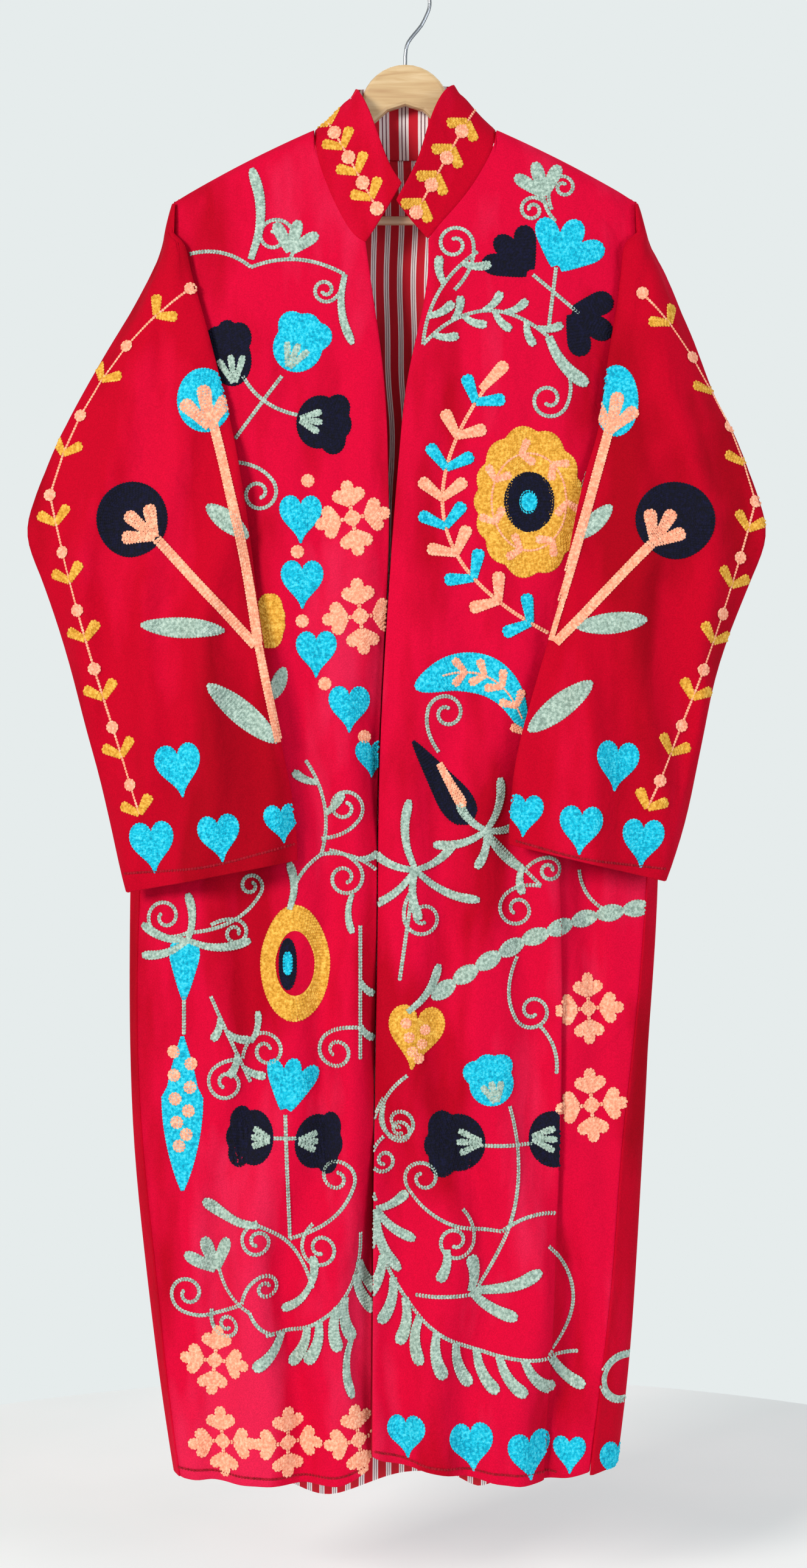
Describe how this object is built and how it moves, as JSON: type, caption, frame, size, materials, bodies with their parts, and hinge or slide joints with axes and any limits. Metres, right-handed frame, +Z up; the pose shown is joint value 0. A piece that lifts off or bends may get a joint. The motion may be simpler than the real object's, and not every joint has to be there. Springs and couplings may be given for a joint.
{
  "type": "embroidered velvet coat on a hanger",
  "caption": "Long open-fronted velvet coat with a stand collar and wide sleeves, hanging on a wooden hanger with a steel hook.",
  "frame": {"origin": "inside top of the hanger's hook, where it hangs on a rail", "axes": "+Z up, +X towards the wearer's left side, -Y towards the open front"},
  "size_m": [0.6623, 0.1199, 1.3563],
  "materials": {
    "velvet": "red cotton velvet with chain-stitch embroidery",
    "lining": "red cotton with white stripes",
    "wood": "pale clear-lacquered wood",
    "steel": "bright plated wire"
  },
  "bodies": {
    "root": {"back": "velvet", "right_gore": "velvet", "left_gore": "velvet", "back_lining": "lining", "right_front": "velvet", "left_front": "velvet", "right_sleeve": "velvet", "left_sleeve": "velvet", "collar": "velvet", "collar_lining": "lining", "hanger_wood": "wood", "hanger_bar": "wood", "hanger_hook": "steel"}
  },
  "joints": []
}
